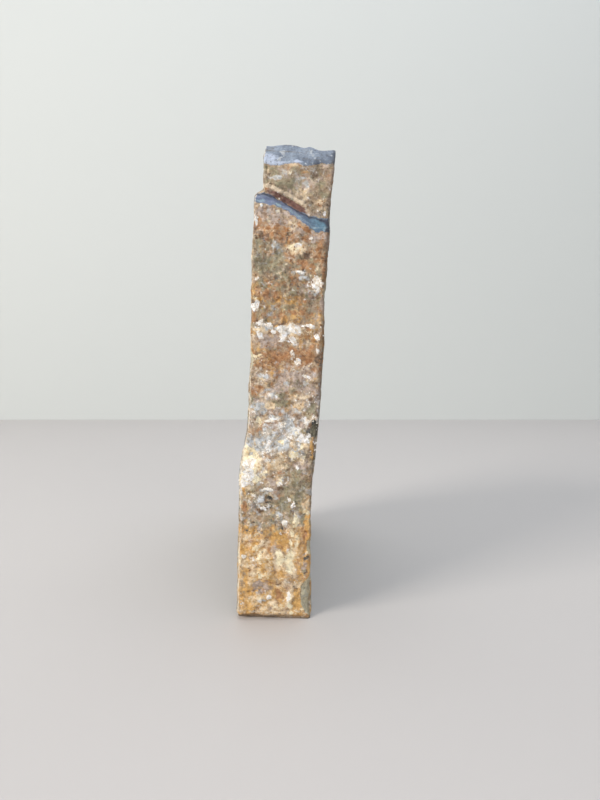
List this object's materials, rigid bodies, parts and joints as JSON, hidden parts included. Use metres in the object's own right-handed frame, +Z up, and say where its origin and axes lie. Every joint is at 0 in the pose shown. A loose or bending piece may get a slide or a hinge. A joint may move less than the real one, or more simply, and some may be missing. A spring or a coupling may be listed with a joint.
{
  "type": "soapstone slab",
  "caption": "Rough soapstone slab that stands on a flat sawn foot: split broad faces, weathered uneven edges, and a broken ledge and bevelled crest at the top.",
  "frame": {"origin": "on the sawn foot, under the middle of the slab's box", "axes": "+Z up along the slab's height, X through its thickness, +Y towards its back edge, so that the weathered front edge faces -Y"},
  "size_m": [0.0448, 0.1516, 0.2108],
  "materials": {
    "soapstone": "weathered, matt to waxy"
  },
  "bodies": {
    "root": {"slab": "soapstone"}
  },
  "joints": []
}
